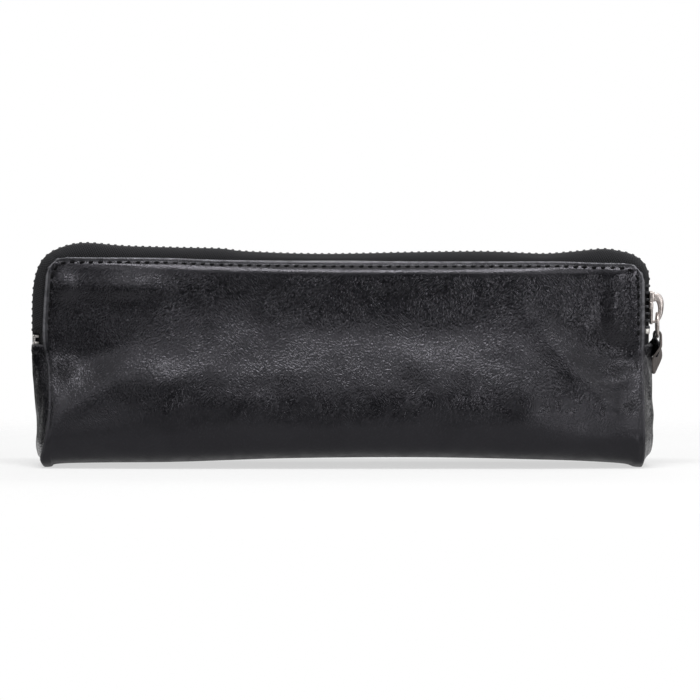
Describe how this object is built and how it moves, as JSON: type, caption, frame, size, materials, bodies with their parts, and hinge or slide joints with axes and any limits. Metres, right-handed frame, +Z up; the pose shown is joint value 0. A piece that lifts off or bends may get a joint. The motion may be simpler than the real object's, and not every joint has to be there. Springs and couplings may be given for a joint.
{
  "type": "fountain pen case",
  "caption": "Soft leather pen pouch with a broad base, end gussets and a metal zip that runs over the top and down both ends, its slider with a ring and leather pull tab.",
  "frame": {"origin": "middle of the base, on the surface that the case stands on", "axes": "X along the case with the closed slider at +X, front wall towards -Y, Z up"},
  "size_m": [0.2139, 0.0502, 0.0744],
  "materials": {
    "hide_leather": "semi-gloss grained hide",
    "lining_cotton": "plain cotton weave",
    "zip_tape": "woven twill tape",
    "zip_teeth": "blackened metal",
    "sewing_thread": "waxed thread",
    "zip_stops": "nickel plated",
    "slider_metal": "polished nickel plate",
    "tab_leather": "hide with raw cut edges"
  },
  "bodies": {
    "pouch": {"hide_base": "hide_leather", "gusset_left": "hide_leather", "gusset_right": "hide_leather", "lining_base": "lining_cotton", "lining_left": "lining_cotton", "lining_right": "lining_cotton", "bottom_stop": "zip_stops"},
    "front_side": {"hide_front": "hide_leather", "lining_front": "lining_cotton", "tape_front": "zip_tape", "teeth_front": "zip_teeth", "stitches_front": "sewing_thread", "top_stop_front": "zip_stops"},
    "back_side": {"hide_back": "hide_leather", "lining_back": "lining_cotton", "tape_back": "zip_tape", "teeth_back": "zip_teeth", "stitches_back": "sewing_thread", "top_stop_back": "zip_stops"},
    "slider": {"slider_body": "slider_metal", "slider_crown": "slider_metal"},
    "ring": {"pull_ring": "slider_metal"},
    "tab": {"pull_tab": "tab_leather"}
  },
  "joints": [
    {"name": "front_opens", "type": "hinge", "parent": "pouch", "child": "front_side", "pos_m": [0, -0.0178, 0.04], "axis": [1, 0, 0], "range_deg": [0, 30]},
    {"name": "back_opens", "type": "hinge", "parent": "pouch", "child": "back_side", "pos_m": [0, 0.0178, 0.04], "axis": [-1, 0, 0], "range_deg": [0, 30]},
    {"name": "slider_travel", "type": "slide", "parent": "front_side", "child": "slider", "axis": [0, 0, 1], "range_m": [0, 0.006]},
    {"name": "ring_swing", "type": "hinge", "parent": "slider", "child": "ring", "pos_m": [0.106, 0, 0.0512], "axis": [0, -1, 0], "range_deg": [0, 110]},
    {"name": "tab_swing", "type": "hinge", "parent": "ring", "child": "tab", "pos_m": [0.106, 0, 0.0432], "axis": [0, -1, 0], "range_deg": [0, 60]}
  ]
}
